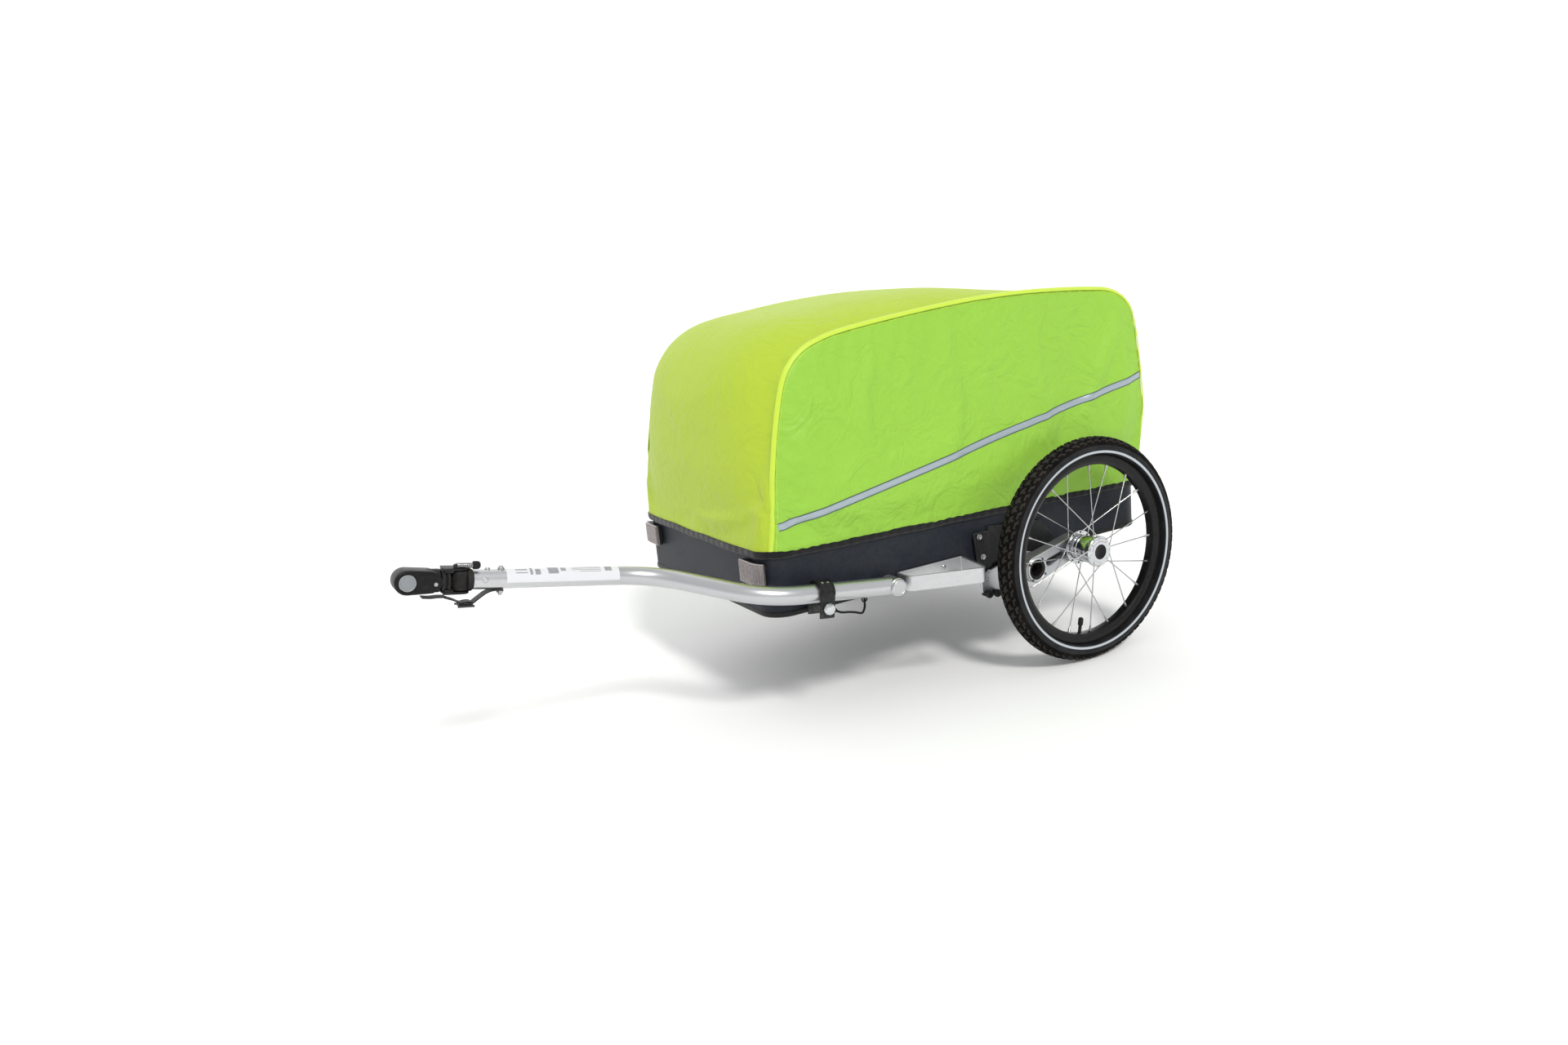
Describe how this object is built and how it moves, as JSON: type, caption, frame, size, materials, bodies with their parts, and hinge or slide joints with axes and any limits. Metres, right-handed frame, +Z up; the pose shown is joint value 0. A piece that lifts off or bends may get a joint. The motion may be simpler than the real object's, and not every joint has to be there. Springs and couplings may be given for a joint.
{
  "type": "bicycle cargo trailer",
  "caption": "Low bicycle cargo trailer: tray with a lift-off bow frame and rain cover, spoked wheels on sprung arms, and a folding side drawbar with a swivel hitch.",
  "frame": {"origin": "middle of the base of the bounding box, on the ground between the wheels' lowest points and the hitch", "axes": "+X forward from the wheels to the hitch, +Y to the trailer's left, +Z up"},
  "size_m": [1.3602, 0.708, 0.6806],
  "materials": {
    "aluminium": "silver anodised, satin",
    "polished": "polished",
    "steel": "zinc plated",
    "black_metal": "satin black",
    "tub_plastic": "fine grained",
    "black_plastic": "moulded, satin",
    "grey_plastic": "moulded, satin",
    "clear_lens": "ribbed, glossy",
    "red_lens": "ribbed, glossy",
    "rubber": "matte",
    "tyre": "dusty tread, matte walls",
    "cover_cloth": "coated nylon, slight sheen",
    "webbing": "woven"
  },
  "bodies": {
    "chassis": {"tub_floor": "tub_plastic", "tub_front_wall": "tub_plastic", "tub_rear_wall": "tub_plastic", "tub_left_wall": "tub_plastic", "tub_right_wall": "tub_plastic", "corner_post_front_left": "tub_plastic", "corner_post_rear_left": "tub_plastic", "corner_post_rear_right": "tub_plastic", "corner_post_front_right": "tub_plastic", "top_rail": "aluminium", "underframe": "aluminium", "front_reflector_left": "clear_lens", "front_reflector_right": "clear_lens", "rear_reflector_left": "red_lens", "rear_reflector_right": "red_lens", "cover_frame": "aluminium", "pivot_block": "black_metal", "pivot_bolt": "steel", "drawbar_saddle": "black_metal", "side_plate_left": "aluminium", "guard_bracket_left": "black_metal", "pivot_cheek_left": "aluminium", "pivot_sleeve_left": "rubber", "wheel_guard_left": "aluminium", "side_plate_right": "aluminium", "guard_bracket_right": "black_metal", "pivot_cheek_right": "aluminium", "pivot_sleeve_right": "rubber", "wheel_guard_right": "aluminium"},
    "cover": {"rain_cover": "cover_cloth"},
    "left_arm": {"trailing_arm_left": "aluminium", "axle_spindle_left": "steel"},
    "left_wheel": {"tyre_left": "tyre", "rim_left": "black_metal", "hub_left": "polished", "bearing_pair_left": "steel", "spokes_left": "steel", "valve_left": "black_plastic"},
    "left_button": {"release_button_left": "black_plastic"},
    "right_arm": {"trailing_arm_right": "aluminium", "axle_spindle_right": "steel"},
    "right_wheel": {"tyre_right": "tyre", "rim_right": "black_metal", "hub_right": "polished", "bearing_pair_right": "steel", "spokes_right": "steel", "valve_right": "black_plastic"},
    "right_button": {"release_button_right": "black_plastic"},
    "drawbar": {"drawbar_tube": "aluminium", "knuckle_bolt": "steel", "hitch_knuckle": "rubber", "safety_strap": "webbing", "strap_buckle": "black_metal", "pin_tether": "webbing"},
    "locking_pin": {"locking_pin": "steel"},
    "hitch_yoke": {"hitch_yoke": "black_plastic", "yaw_pin": "steel"},
    "hitch_head": {"hitch_head": "black_plastic"},
    "lock_button": {"lock_button": "grey_plastic"}
  },
  "joints": [
    {"name": "cover_lift", "type": "slide", "parent": "chassis", "child": "cover", "axis": [0, 0, 1], "range_m": [0, 0.45]},
    {"name": "drawbar_swing", "type": "hinge", "parent": "chassis", "child": "drawbar", "pos_m": [-0.06026, 0.281, 0.2118], "axis": [0, 1, 0], "range_deg": [0, 100]},
    {"name": "pin_pull", "type": "slide", "parent": "drawbar", "child": "locking_pin", "axis": [0, 1, 0], "range_m": [0, 0.055]},
    {"name": "hitch_yaw", "type": "hinge", "parent": "drawbar", "child": "hitch_yoke", "pos_m": [0.5864, 0.11, 0.33195], "axis": [-0.1917, 0, 0.9814], "range_deg": [-60, 60]},
    {"name": "hitch_roll", "type": "hinge", "parent": "hitch_yoke", "child": "hitch_head", "pos_m": [0.62762, 0.11, 0.34], "axis": [0.9814, 0, 0.1917], "range_deg": [-90, 90]},
    {"name": "lock_press", "type": "slide", "parent": "hitch_head", "child": "lock_button", "axis": [0, -1, 0], "range_m": [0, 0.004], "stiffness_N_per_m": 800, "springref_m": -0.002},
    {"name": "left_suspension", "type": "hinge", "parent": "chassis", "child": "left_arm", "pos_m": [-0.35726, 0.28, 0.176], "axis": [0, 1, 0], "range_deg": [0, 12], "stiffness_Nm_per_rad": 60, "springref_deg": -20.05},
    {"name": "left_wheel_spin", "type": "hinge", "parent": "left_arm", "child": "left_wheel", "pos_m": [-0.44826, 0.325, 0.2], "axis": [0, 1, 0], "continuous": true},
    {"name": "left_button_press", "type": "slide", "parent": "left_arm", "child": "left_button", "axis": [0, -1, 0], "range_m": [0, 0.003], "stiffness_N_per_m": 600, "springref_m": -0.003},
    {"name": "right_suspension", "type": "hinge", "parent": "chassis", "child": "right_arm", "pos_m": [-0.35726, -0.28, 0.176], "axis": [0, 1, 0], "range_deg": [0, 12], "stiffness_Nm_per_rad": 60, "springref_deg": -20.05},
    {"name": "right_wheel_spin", "type": "hinge", "parent": "right_arm", "child": "right_wheel", "pos_m": [-0.44826, -0.325, 0.2], "axis": [0, 1, 0], "continuous": true},
    {"name": "right_button_press", "type": "slide", "parent": "right_arm", "child": "right_button", "axis": [0, 1, 0], "range_m": [0, 0.003], "stiffness_N_per_m": 600, "springref_m": -0.003}
  ]
}
